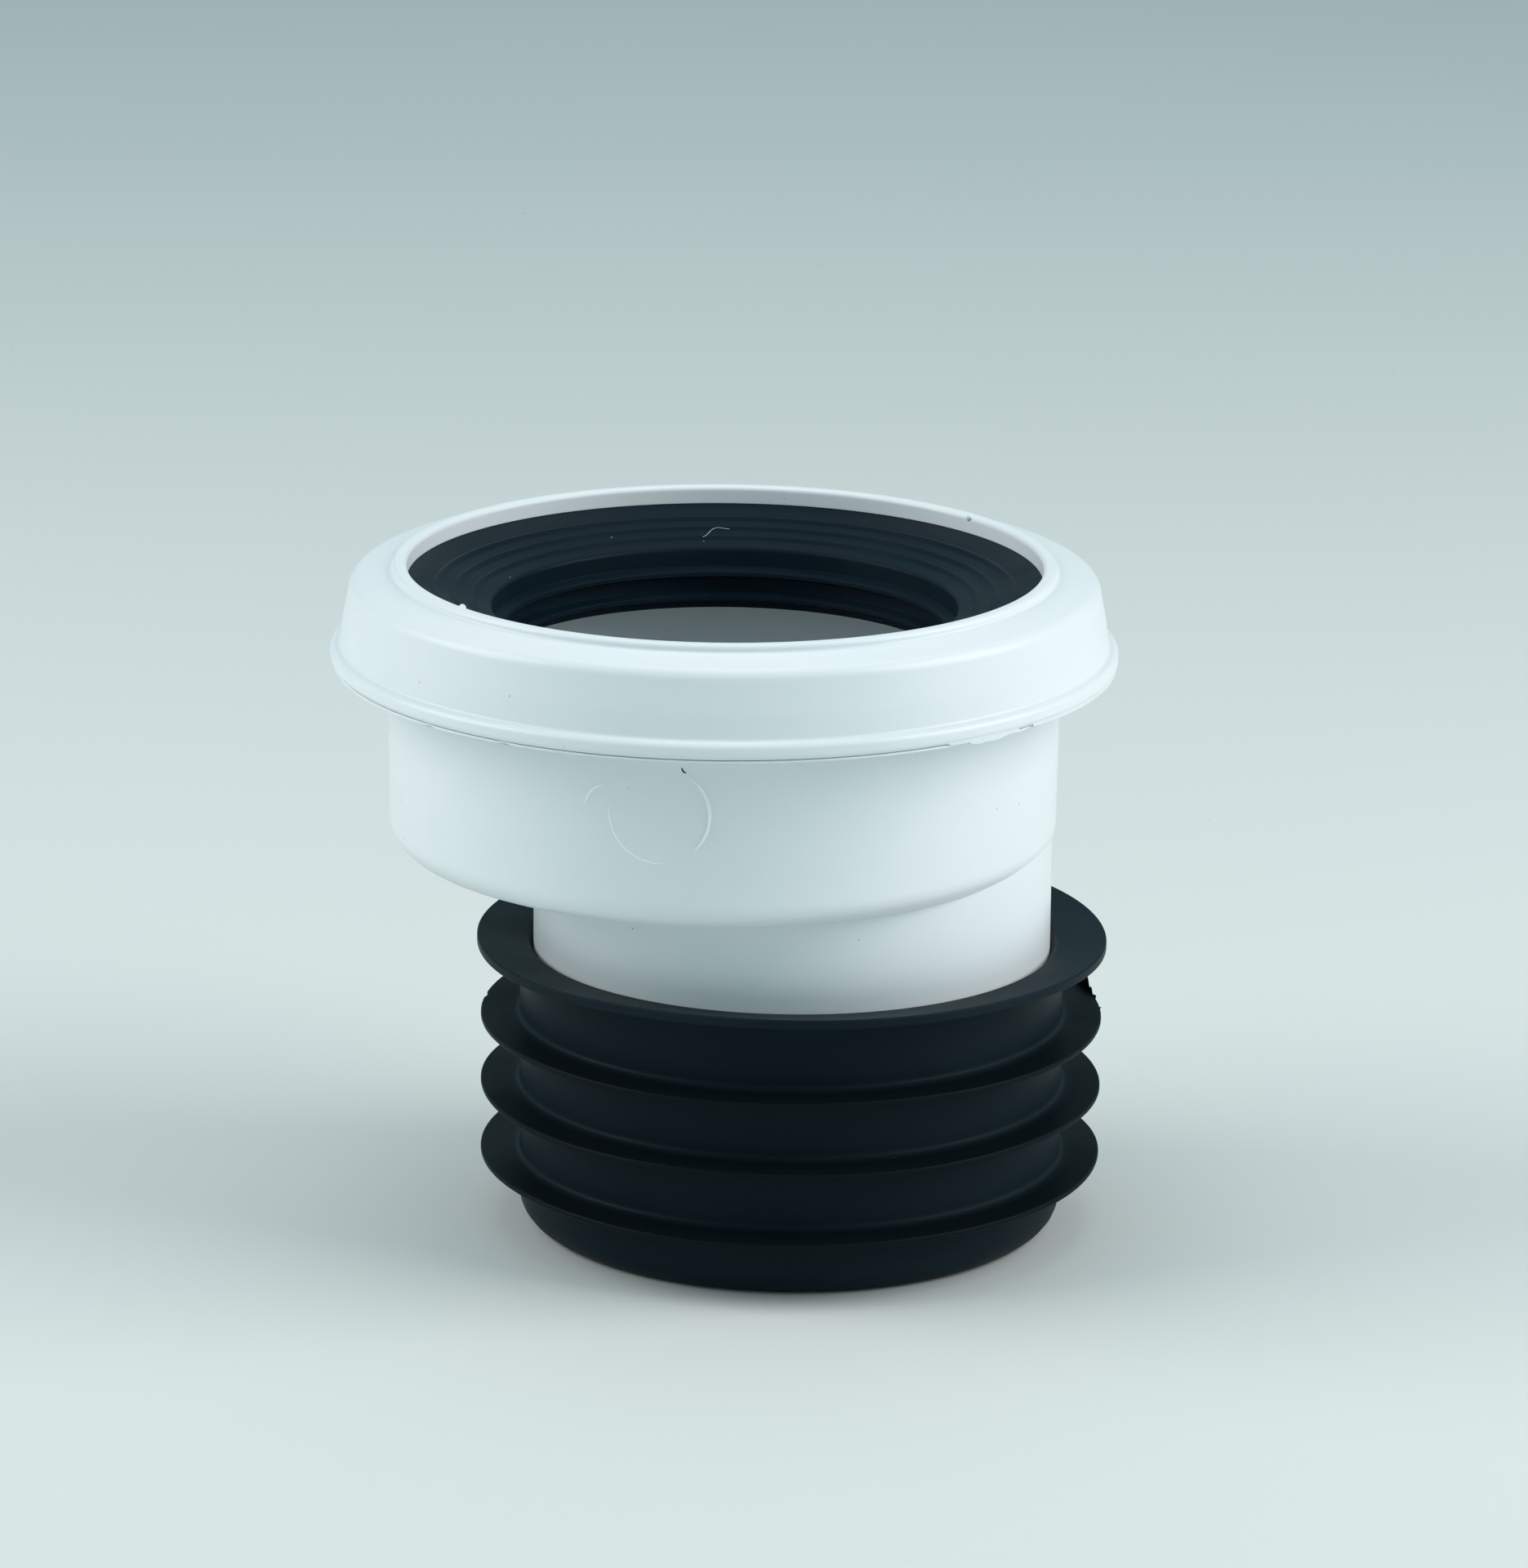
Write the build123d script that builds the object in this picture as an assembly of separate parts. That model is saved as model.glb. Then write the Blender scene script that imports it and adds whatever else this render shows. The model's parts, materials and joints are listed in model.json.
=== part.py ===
from build123d import *
import os

# Offset toilet pan connector: a white moulded body with a socket above and an off-centre spigot below,
# a clip-on retaining cap, a rubber inlet seal clamped under the cap and a rubber fin seal on the spigot.
# Millimetres, +Z up. The origin lies under the inlet axis on the plane that the connector stands on,
# and the outlet axis stands towards +X, so that the spigot is nearly flush with that side of the socket.

# Whole connector
overall_height = 120.0

# Body: socket, shoulder and spigot
body_wall = 3.0
socket_r = 59.8
socket_taper = 0.35
shoulder_z = 68.8
shoulder_round = 5.0
floor_round = 2.0
spigot_r = 46.2
flush_ledge = 0.25
spigot_end_round = 0.8
bore_mouth_round = 1.2
spigot_bead_height = 0.7
spigot_bead_width = 2.0
spigot_bead_drop = 7.4

# Body: flange that the cap stands on, and ring that the cap snaps over
flange_reach = 9.7
flange_edge = 0.4
flange_root = 2.4
flange_edge_round = 0.15
snap_ring_reach = 5.3
snap_ring_thickness = 2.4
snap_ring_lead = 0.8
rim_round = 0.5

# Retaining cap
cap_height = 17.6
cap_wall = 2.3
lip_overhang = 0.4
lip_width = 2.6
lip_round = 0.8
lip_step = 1.3
lip_foot_round = 0.5
bore_depth = 3.2
slope_drop = 1.5
cap_corner_round = 2.2
cap_break_depth = 10.2
cap_break_round = 12.0
cap_flare_above = 1.45
cap_flare_below = 0.45
cap_bead_reach = 1.75
cap_bead_height = 3.1
cap_bead_round = 1.15
cap_bead_fillet = 0.55
snap_clearance = 0.8
hook_bite = 0.5
hook_height = 1.6
hook_lead = 0.7
hook_clearance = 0.1

# Inlet seal
rim_thickness = 4.4
rim_overhang = 0.7
seal_clearance = 0.15
skirt_wall = 3.2
skirt_depth = 4.4
skirt_round = 0.8
funnel_drop = 4.7
funnel_wall = 2.5
funnel_ridge_count = 3
funnel_ridge_first = 3.5
funnel_ridge_pitch = 3.2
funnel_ridge_height = 0.45
funnel_ridge_width = 1.6
tube_r = 41.3
tube_wall = 2.3
tube_length = 11.1
tube_round = 0.8
grip_ring_count = 2
grip_ring_reach = 1.9
grip_ring_width = 2.2
grip_ring_land = 0.8

# Outlet seal
sleeve_wall = 2.3
sleeve_clearance = 0.1
end_lip = 3.0
end_lip_overlap = 0.8
foot_round = 5.0
fin_reach = 7.0
fin_first_z = 11.7
fin_pitch = 12.75
fin_count = 3
fin_tip = 1.0
fin_root = 2.3
fin_rise = 0.4
fin_root_round = 0.9
fin_tip_round = 0.35
collar_reach = 7.7
collar_gap = 14.2
collar_tip = 1.7
collar_rise = 1.0
collar_dish = 1.2
mouth_gap = 1.2
mouth_depth = 2.6
mouth_round = 0.3

# Levels: the cap, its seal and the top of the body hang from the crest of the cap's lip
crest_z = overall_height
seat_z = crest_z - bore_depth
rim_z = seat_z - rim_thickness
flange_top_z = crest_z - cap_height
hook_bottom_z = flange_top_z + hook_lead
hook_top_z = hook_bottom_z + hook_height
snap_ring_under_z = hook_top_z + hook_clearance
snap_ring_top_z = snap_ring_under_z + snap_ring_thickness
floor_z = shoulder_z + body_wall

# Levels of the fins, from the foot up
fin_levels = [fin_first_z + fin_pitch * step for step in range(fin_count)]
collar_z = fin_levels[-1] + collar_gap
spigot_bead_z = collar_z - spigot_bead_drop

# Radii about the inlet axis
socket_foot_r = socket_r - socket_taper
socket_inner_r = socket_r - body_wall
socket_floor_r = socket_foot_r - body_wall
snap_ring_r = socket_r + snap_ring_reach
lip_bore_r = socket_inner_r - lip_overhang
lip_outer_r = lip_bore_r + lip_width
cap_inner_r = snap_ring_r + snap_clearance
cap_skirt_r = cap_inner_r + cap_wall

# Radii about the outlet axis, and the offset that sets the spigot beside the socket's wall
bore_r = spigot_r - body_wall
sleeve_inner_r = spigot_r + sleeve_clearance
sleeve_r = sleeve_inner_r + sleeve_wall
axis_offset = socket_foot_r - spigot_r - flush_ledge


def turned(corners, axis_x=0.0):
    """Revolve a closed outline of (radius, height, rounding) corners about the vertical line at axis_x."""
    points = [(radius, 0, height) for radius, height, rounding in corners]
    roundings = [rounding for radius, height, rounding in corners]
    outline = FilletPolyline(*points, radius=roundings, close=True)
    return Pos(axis_x, 0, 0) * revolve(make_face(outline.edges()), Axis.Z)


def make_body():
    """Socket with its flange and snap ring, joined to the off-centre spigot and hollowed right through."""
    flange_r = socket_r + flange_reach
    socket = turned([
        (0, shoulder_z, 0),
        (socket_foot_r, shoulder_z, shoulder_round),
        (socket_r, flange_top_z - flange_root, 0),
        (flange_r, flange_top_z - flange_edge, flange_edge_round),
        (flange_r, flange_top_z, flange_edge_round),
        (socket_r, flange_top_z, 0),
        (socket_r, snap_ring_under_z, 0),
        (snap_ring_r, snap_ring_under_z, 0),
        (snap_ring_r, snap_ring_top_z, snap_ring_lead),
        (socket_r, snap_ring_top_z, 0),
        (socket_r, rim_z, rim_round),
        (0, rim_z, 0),
    ])
    bead_r = spigot_r + spigot_bead_height
    bead_half = spigot_bead_width / 2
    bead_land = bead_half - spigot_bead_height
    shoulder_top_z = shoulder_z + shoulder_round
    spigot = turned([
        (0, end_lip, 0),
        (spigot_r, end_lip, spigot_end_round),
        (spigot_r, spigot_bead_z - bead_half, 0),
        (bead_r, spigot_bead_z - bead_land, 0),
        (bead_r, spigot_bead_z + bead_land, 0),
        (spigot_r, spigot_bead_z + bead_half, 0),
        (spigot_r, shoulder_top_z, 0),
        (0, shoulder_top_z, 0),
    ], axis_offset)
    chamber = turned([
        (0, floor_z, 0),
        (socket_floor_r, floor_z, floor_round),
        (socket_inner_r, rim_z, 0),
        (0, rim_z, 0),
    ])
    bore_top_z = floor_z + floor_round
    bore = turned([
        (0, end_lip, 0),
        (bore_r, end_lip, 0),
        (bore_r, bore_top_z, 0),
        (0, bore_top_z, 0),
    ], axis_offset)
    mouth_r = bore_r + 2 * bore_mouth_round
    mouth_foot_z = floor_z - 2 * bore_mouth_round
    bore_mouth = turned([
        (0, mouth_foot_z, 0),
        (bore_r, mouth_foot_z, 0),
        (bore_r, floor_z, bore_mouth_round),
        (mouth_r, floor_z, 0),
        (mouth_r, bore_top_z, 0),
        (0, bore_top_z, 0),
    ], axis_offset)
    inside_wall = Pos(0, 0, floor_z) * Cylinder(socket_floor_r, 2 * body_wall)
    return socket + spigot - chamber - bore - (bore_mouth & inside_wall)


def make_retaining_cap():
    """Ring with a raised lip, a sloping face, a flared skirt with a rolled bead, and a snap hook inside."""
    break_r = cap_skirt_r - cap_flare_below
    break_z = crest_z - cap_break_depth
    corner_r = break_r - cap_flare_above
    step_z = crest_z - lip_step
    corner_z = step_z - slope_drop
    bead_r = cap_skirt_r + cap_bead_reach
    bead_top_z = flange_top_z + cap_bead_height
    hook_r = snap_ring_r - hook_bite
    return turned([
        (lip_bore_r, seat_z, 0),
        (lip_bore_r, crest_z, lip_round),
        (lip_outer_r, crest_z, lip_round),
        (lip_outer_r, step_z, lip_foot_round),
        (corner_r, corner_z, cap_corner_round),
        (break_r, break_z, cap_break_round),
        (cap_skirt_r, bead_top_z, cap_bead_fillet),
        (bead_r, bead_top_z, cap_bead_round),
        (bead_r, flange_top_z, cap_bead_round),
        (hook_r + hook_lead, flange_top_z, 0),
        (hook_r, hook_bottom_z, 0),
        (hook_r, hook_top_z, 0),
        (cap_inner_r, hook_top_z, 0),
        (break_r - cap_wall, break_z, 0),
        (corner_r - cap_wall, seat_z - slope_drop, lip_foot_round),
        (lip_outer_r, seat_z, 0),
    ])


def make_inlet_seal():
    """Clamped rim with a skirt round the socket's edge, a ridged funnel and a tube with grip rings."""
    slope = funnel_drop / (lip_bore_r - tube_r)
    skirt_inner_r = socket_r + seal_clearance
    skirt_r = skirt_inner_r + skirt_wall
    skirt_top_z = seat_z - slope_drop
    skirt_foot_z = rim_z - skirt_depth
    rim_inner_r = socket_inner_r - rim_overhang
    tube_outer_r = tube_r + tube_wall
    tube_top_z = seat_z - funnel_drop
    tube_foot_z = tube_top_z - tube_length

    def funnel_z(radius):
        return seat_z - slope * (lip_bore_r - radius)

    corners = [
        (lip_bore_r, seat_z, 0),
        (lip_outer_r - seal_clearance, seat_z, 0),
        (skirt_r, skirt_top_z, skirt_round),
        (skirt_r, skirt_foot_z, skirt_round),
        (skirt_inner_r, skirt_foot_z, 0),
        (skirt_inner_r, rim_z, 0),
        (rim_inner_r, rim_z, 0),
        (rim_inner_r, funnel_z(rim_inner_r) - funnel_wall, 0),
        (tube_outer_r, funnel_z(tube_outer_r) - funnel_wall, tube_round),
        (tube_outer_r, tube_foot_z, tube_round),
        (tube_r, tube_foot_z, 0),
    ]
    ring_r = tube_r - grip_ring_reach
    ring_pitch = tube_length / (grip_ring_count + 0.5)
    for step in range(grip_ring_count, 0, -1):
        ring_z = tube_top_z - ring_pitch * step
        corners += [
            (tube_r, ring_z - grip_ring_width / 2, 0),
            (ring_r, ring_z - grip_ring_land / 2, 0),
            (ring_r, ring_z + grip_ring_land / 2, 0),
            (tube_r, ring_z + grip_ring_width / 2, 0),
        ]
    corners.append((tube_r, tube_top_z, tube_round))
    half_ridge = funnel_ridge_width / 2
    for step in range(funnel_ridge_count):
        ridge_r = tube_r + funnel_ridge_first + funnel_ridge_pitch * step
        corners += [
            (ridge_r - half_ridge, funnel_z(ridge_r - half_ridge), 0),
            (ridge_r, funnel_z(ridge_r) + funnel_ridge_height, 0),
            (ridge_r + half_ridge, funnel_z(ridge_r + half_ridge), 0),
        ]
    return turned(corners)


def make_outlet_seal():
    """Sleeve on the spigot with a turned-in end lip, three fins, and a dished collar fin with a lead-in mouth."""
    end_lip_r = bore_r - end_lip_overlap
    fin_r = sleeve_r + fin_reach
    collar_r = sleeve_r + collar_reach
    root_spread = (fin_root - fin_tip) / 2
    corners = [
        (end_lip_r, 0, 0),
        (sleeve_r, 0, foot_round),
    ]
    for level in fin_levels:
        root_z = level - fin_rise
        corners += [
            (sleeve_r, root_z - root_spread, fin_root_round),
            (fin_r, level, fin_tip_round),
            (fin_r, level + fin_tip, fin_tip_round),
            (sleeve_r, root_z + fin_tip + root_spread, fin_root_round),
        ]
    collar_top_z = collar_z + collar_tip
    groove_r = sleeve_inner_r + spigot_bead_height
    groove_half = spigot_bead_width / 2 + sleeve_clearance
    groove_land = groove_half - spigot_bead_height
    corners += [
        (sleeve_r, collar_z - collar_rise - root_spread, fin_root_round),
        (collar_r, collar_z, fin_tip_round),
        (collar_r, collar_top_z, fin_tip_round),
        (sleeve_inner_r + mouth_gap, collar_top_z - collar_dish, mouth_round),
        (sleeve_inner_r, collar_top_z - mouth_depth, 0),
        (sleeve_inner_r, spigot_bead_z + groove_half, 0),
        (groove_r, spigot_bead_z + groove_land, 0),
        (groove_r, spigot_bead_z - groove_land, 0),
        (sleeve_inner_r, spigot_bead_z - groove_half, 0),
        (sleeve_inner_r, end_lip, 0),
        (end_lip_r, end_lip, 0),
    ]
    return turned(corners, axis_offset)


nodes = {
    "body": make_body(),
    "retaining_cap": make_retaining_cap(),
    "inlet_seal": make_inlet_seal(),
    "outlet_seal": make_outlet_seal(),
}

os.makedirs("parts", exist_ok=True)
for name, solid in nodes.items():
    export_step(solid, f"parts/{name}.step")
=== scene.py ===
import json
import math
import bpy
import numpy as np
from mathutils import Matrix, Vector


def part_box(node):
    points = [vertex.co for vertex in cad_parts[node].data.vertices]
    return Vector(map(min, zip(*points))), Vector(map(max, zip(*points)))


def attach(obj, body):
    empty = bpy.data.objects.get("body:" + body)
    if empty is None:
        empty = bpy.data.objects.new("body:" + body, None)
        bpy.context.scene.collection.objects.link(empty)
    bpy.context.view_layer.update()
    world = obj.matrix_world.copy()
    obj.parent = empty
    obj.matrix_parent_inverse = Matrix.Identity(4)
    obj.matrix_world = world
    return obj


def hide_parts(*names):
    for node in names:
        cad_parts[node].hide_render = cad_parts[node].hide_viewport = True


# Offset toilet pan connector, standing on its outlet: body, fin seal, inlet seal and retaining cap.
# Sizes are in millimetres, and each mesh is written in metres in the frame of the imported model.
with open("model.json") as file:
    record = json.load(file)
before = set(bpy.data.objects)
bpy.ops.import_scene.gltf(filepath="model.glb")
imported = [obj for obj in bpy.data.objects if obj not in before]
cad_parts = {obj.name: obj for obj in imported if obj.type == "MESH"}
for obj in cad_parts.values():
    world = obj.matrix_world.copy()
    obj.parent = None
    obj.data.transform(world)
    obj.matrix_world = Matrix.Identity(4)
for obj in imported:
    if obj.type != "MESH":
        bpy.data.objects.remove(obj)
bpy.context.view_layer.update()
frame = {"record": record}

# Body: one white polypropylene moulding. The wide socket, open above, rounds in to a shoulder, and the
# narrower spigot leaves the shoulder off-centre, so that the two walls run nearly flush on one side. A
# flange carries the cap, and a ring above it holds the cap's hook.
mm = 0.001
mounts = {mount["name"]: mount for mount in frame["record"]["mounts"]}
outlet_x = mounts["outlet"]["pos_m"][0] / mm
crest_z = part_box("retaining_cap")[1][2] / mm
rim_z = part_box("body")[1][2] / mm
flange_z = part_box("retaining_cap")[0][2] / mm
flange_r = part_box("body")[1][0] / mm
spigot_end_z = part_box("body")[0][2] / mm
body_wall = 3.0
socket_r = 59.8
socket_foot_r = 59.45
shoulder_z = 68.8
shoulder_round = 5.0
floor_round = 2.0
floor_round_share = 0.6
spigot_r = 46.2
neck_length = 9.0
spigot_end_round = 0.8
bore_mouth_round = 1.2
bore_mouth_share = 0.35
spigot_bead_z = 44.0
spigot_bead_height = 0.7
spigot_bead_half = 1.0
flange_edge = 0.4
flange_root = 2.4
flange_edge_round = 0.15
snap_ring_r = 65.1
snap_ring_low_z = 104.8
snap_ring_top_z = 107.2
snap_ring_lead = 0.8
rim_round = 0.5

flange_nick_turns = (-121.3, -106.7, -37.8, -24.5)
flange_nick_depth = 0.55
flange_nick_spread = 0.9

edge_break = 0.12
arc_rows = 7
run_row_gap = 0.3
run_row_share = 0.2
shoulder_row_count = 34
columns = 300
sharp_angle = 35
angle = np.linspace(0, 2 * np.pi, columns, endpoint=False)


def turned_from(degrees):
    """Turn of each column from a direction, in degrees from -180 to 180."""
    return (np.degrees(angle) - degrees + 180) % 360 - 180


def rounded_path(corners):
    """Rows (radius, height) along an open outline of (radius, height, rounding) corners.

    Each inner corner becomes an arc that touches both sides: its centre lies on the bisector, and the arc's
    spokes turn evenly from one touching point to the other. A straight run has a row close to each end, so
    that it shades flat, and two rows between them.
    """
    corner = np.array([(*point, 0)[:3] for point in corners], float)
    point = corner[:, :2]
    rounding = np.maximum(corner[1:-1, 2], edge_break)[:, None]
    side = np.diff(point, axis=0)
    side /= np.linalg.norm(side, axis=1, keepdims=True)
    back, ahead = -side[:-1], side[1:]
    half = np.arccos(np.clip((back * ahead).sum(axis=1, keepdims=True), -1, 1)) / 2
    turn = (np.pi - 2 * half)[:, None]
    centre = point[1:-1] + (back + ahead) / (2 * np.cos(half)) * rounding / np.sin(half)
    first_spoke = point[1:-1] + back * rounding / np.tan(half) - centre
    last_spoke = point[1:-1] + ahead * rounding / np.tan(half) - centre
    share = np.linspace(0, 1, arc_rows)[None, :, None]
    spokes = np.sin((1 - share) * turn) * first_spoke[:, None] + np.sin(share * turn) * last_spoke[:, None]
    arcs = centre[:, None] + spokes / np.sin(turn)
    run_start = np.vstack([point[:1], arcs[:, -1]])
    run = np.vstack([arcs[:, 0], point[-1:]]) - run_start
    near = np.minimum(run_row_gap / np.linalg.norm(run, axis=1), run_row_share)
    third = np.full_like(near, 1 / 3)
    run_share = np.stack([near, third, 2 * third, 1 - near], axis=1)
    runs = run_start[:, None] + run_share[:, :, None] * run[:, None]
    rows = np.concatenate([runs[:-1], arcs], axis=1).reshape(-1, 2)
    return np.vstack([rows, runs[-1]])


def reach(radius):
    """Distance from the inlet axis, in each column's direction, to circles of these radii about the outlet
    axis: offset x cosine + root of (radius squared - offset squared x sine squared)."""
    radius = np.asarray(radius, float).reshape(-1, 1)
    return outlet_x * np.cos(angle) + np.sqrt(radius ** 2 - (outlet_x * np.sin(angle)) ** 2)


def body_grid():
    """Closed wall of the body: for each direction about the inlet axis, a loop of (distance, height) rows.

    The loop runs down the bore, round the spigot's end and up the spigot to the crease, out under the
    shoulder and up its rounding, up the socket's wall, over the rim, down the chamber and in across the floor
    to the bore. The spigot's rows take their distance from circles about the outlet axis. The rows under the
    shoulder share out the length from the rounding's foot to the crease, which lies up the rounding where the
    walls are nearly flush. The flange's edge goes in by a narrow bell curve at each nick.
    """
    bore_r = spigot_r - body_wall
    chamber_r = socket_r - body_wall
    floor_r = socket_foot_r - body_wall
    floor_z = shoulder_z + body_wall
    bead_r = spigot_r + spigot_bead_height
    bead_land = spigot_bead_half - spigot_bead_height
    neck_z = shoulder_z - neck_length
    half_z = spigot_bead_z / 2
    spigot = rounded_path([
        (bore_r, half_z),
        (bore_r, spigot_end_z),
        (spigot_r, spigot_end_z, spigot_end_round),
        (spigot_r, spigot_bead_z - spigot_bead_half),
        (bead_r, spigot_bead_z - bead_land),
        (bead_r, spigot_bead_z + bead_land),
        (spigot_r, spigot_bead_z + spigot_bead_half),
        (spigot_r, neck_z),
    ])
    spigot_rows = reach(spigot[:, 0]), np.repeat(spigot[:, 1:], columns, axis=1)

    round_x = socket_foot_r - shoulder_round
    round_length = shoulder_round * np.pi / 2
    crease_x = reach(spigot_r)
    up_round = np.arccos(np.clip((crease_x - round_x) / shoulder_round, 0, 1))
    crease_length = np.where(crease_x > round_x, up_round * shoulder_round, round_length + round_x - crease_x)
    crease_z = shoulder_z + shoulder_round * (1 - np.sin(up_round)) * (crease_x > round_x)
    neck_share = np.array([0.3, 0.6, 0.9, 0.98])[:, None]
    neck_rows = np.repeat(crease_x, len(neck_share), axis=0), neck_z + neck_share * (crease_z - neck_z)
    length = np.linspace(1, 0, shoulder_row_count)[:, None] * crease_length
    spoke = np.minimum(length / shoulder_round, np.pi / 2)
    shoulder_rows = (
        round_x + shoulder_round * np.cos(spoke) - np.maximum(length - round_length, 0),
        shoulder_z + shoulder_round * (1 - np.sin(spoke)),
    )

    socket = rounded_path([
        (socket_foot_r, shoulder_z + shoulder_round),
        (socket_r, flange_z - flange_root),
        (flange_r, flange_z - flange_edge, flange_edge_round),
        (flange_r, flange_z, flange_edge_round),
        (socket_r, flange_z),
        (socket_r, snap_ring_low_z),
        (snap_ring_r, snap_ring_low_z),
        (snap_ring_r, snap_ring_top_z, snap_ring_lead),
        (socket_r, snap_ring_top_z),
        (socket_r, rim_z, rim_round),
        (chamber_r, rim_z),
        (floor_r, floor_z + 2 * floor_round),
    ])
    edge_share = np.clip((socket[:, :1] - flange_r + flange_edge) / flange_edge, 0, 1)
    nick = sum(np.exp(-(turned_from(turn) / flange_nick_spread) ** 2) for turn in flange_nick_turns)
    socket_distance = socket[:, :1] - edge_share * flange_nick_depth * nick
    socket_rows = socket_distance, np.repeat(socket[:, 1:], columns, axis=1)

    bore_x = reach(bore_r)
    ledge = floor_r - bore_x
    floor_arc = np.minimum(floor_round, floor_round_share * ledge)
    mouth_arc = np.minimum(bore_mouth_round, bore_mouth_share * ledge)
    spoke = np.linspace(0, np.pi / 2, arc_rows)[:, None]
    foot_rows = floor_r - floor_arc * (1 - np.cos(spoke)), floor_z + floor_arc * (1 - np.sin(spoke))
    across = np.linspace(0.1, 0.9, 6)[:, None]
    floor_start = floor_r - floor_arc
    floor_distance = floor_start + across * (bore_x + mouth_arc - floor_start)
    floor_rows = floor_distance, np.full_like(floor_distance, floor_z)
    mouth_rows = bore_x + mouth_arc * (1 - np.sin(spoke)), floor_z - mouth_arc * (1 - np.cos(spoke))
    bore_z = floor_z - mouth_arc
    down = np.array([0.02, 0.35, 0.7])[:, None]
    bore_rows = np.repeat(bore_x, len(down), axis=0), bore_z + down * (half_z - bore_z)

    parts = (spigot_rows, neck_rows, shoulder_rows, socket_rows, foot_rows, floor_rows, mouth_rows, bore_rows)
    distance = np.vstack([part[0] for part in parts])
    height = np.vstack([part[1] for part in parts])
    return np.stack([distance * np.cos(angle), distance * np.sin(angle), height], axis=2)


def add_piece(name, grid, material, node=None, ring=True):
    """Mesh of a grid of points in millimetres, one quad for each cell. Its rows close on themselves. So do
    the columns of a ring, while a strip has a flat cap over its first and its last column."""
    rows, across = grid.shape[:2]
    index = np.arange(rows * across).reshape(rows, across)
    right = np.roll(index, -1, axis=1)
    quads = np.stack([index, right, np.roll(right, -1, axis=0), np.roll(index, -1, axis=0)], axis=2)
    caps = []
    if not ring:
        quads = quads[:, :-1]
        caps = [index[:, 0].tolist(), index[::-1, -1].tolist()]
    mesh = bpy.data.meshes.new(name)
    mesh.from_pydata((grid * mm).reshape(-1, 3), [], quads.reshape(-1, 4).tolist() + caps)
    mesh.shade_smooth()
    mesh.set_sharp_from_angle(angle=math.radians(sharp_angle))
    mesh.materials.append(material)
    piece = bpy.data.objects.new(name, mesh)
    bpy.context.scene.collection.objects.link(piece)
    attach(piece, "root")
    if node:
        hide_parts(node)


def add_node(tree, kind, **settings):
    """New shader node with the given settings."""
    node = tree.nodes.new("ShaderNode" + kind)
    for key, value in settings.items():
        setattr(node, key, value)
    return node


def new_group(name, inputs, outputs):
    """Shader node group with these named sockets; returns the group, its input node and its output node."""
    group = bpy.data.node_groups.new(name, "ShaderNodeTree")
    for socket, kind in inputs.items():
        group.interface.new_socket(name=socket, in_out="INPUT", socket_type="NodeSocket" + kind)
    for socket, kind in outputs.items():
        group.interface.new_socket(name=socket, in_out="OUTPUT", socket_type="NodeSocket" + kind)
    return group, group.nodes.new("NodeGroupInput"), group.nodes.new("NodeGroupOutput")


def add_math(tree, operation, first, second):
    """Math node on two values, each a socket or a number; returns its result."""
    node = add_node(tree, "Math", operation=operation)
    for socket, value in zip(node.inputs, (first, second)):
        if isinstance(value, (int, float)):
            socket.default_value = value
        else:
            tree.links.new(value, socket)
    return node.outputs["Value"]


def add_noise(tree, vector, scale, detail):
    """Noise texture on these coordinates, with its scale from a socket."""
    noise = add_node(tree, "TexNoise")
    noise.inputs["Detail"].default_value = detail
    tree.links.new(vector, noise.inputs["Vector"])
    tree.links.new(scale, noise.inputs["Scale"])
    return noise.outputs["Fac"]


def add_step(tree, value, low, high):
    """Smooth step of a value, from nought at low to one at high."""
    step = add_node(tree, "MapRange", interpolation_type="SMOOTHSTEP")
    step.inputs["From Min"].default_value = low
    step.inputs["From Max"].default_value = high
    tree.links.new(value, step.inputs["Value"])
    return step.outputs["Result"]


# Moulded skin: broad soft patches shift the colour and the roughness, and a fine grain gives the height.
patch_detail = 4
patch_low = 0.38
patch_high = 0.66
grain_detail = 2
moulded_skin, skin_in, skin_out = new_group(
    "moulded_skin",
    {"Vector": "Vector", "Shade": "Color", "Patch Shade": "Color", "Patch Scale": "Float",
     "Grain Scale": "Float", "Roughness": "Float", "Patch Roughness": "Float"},
    {"Color": "Color", "Roughness": "Float", "Height": "Float"})
skin_noise = add_noise(moulded_skin, skin_in.outputs["Vector"], skin_in.outputs["Patch Scale"], patch_detail)
skin_patch = add_step(moulded_skin, skin_noise, patch_low, patch_high)
skin_color = add_node(moulded_skin, "Mix", data_type="RGBA")
moulded_skin.links.new(skin_patch, skin_color.inputs["Factor"])
moulded_skin.links.new(skin_in.outputs["Shade"], skin_color.inputs["A"])
moulded_skin.links.new(skin_in.outputs["Patch Shade"], skin_color.inputs["B"])
moulded_skin.links.new(skin_color.outputs["Result"], skin_out.inputs["Color"])
skin_rough = add_node(moulded_skin, "Mix", data_type="FLOAT")
moulded_skin.links.new(skin_patch, skin_rough.inputs["Factor"])
moulded_skin.links.new(skin_in.outputs["Roughness"], skin_rough.inputs["A"])
moulded_skin.links.new(skin_in.outputs["Patch Roughness"], skin_rough.inputs["B"])
moulded_skin.links.new(skin_rough.outputs["Result"], skin_out.inputs["Roughness"])
skin_grain = add_noise(moulded_skin, skin_in.outputs["Vector"], skin_in.outputs["Grain Scale"], grain_detail)
moulded_skin.links.new(skin_grain, skin_out.inputs["Height"])

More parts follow.
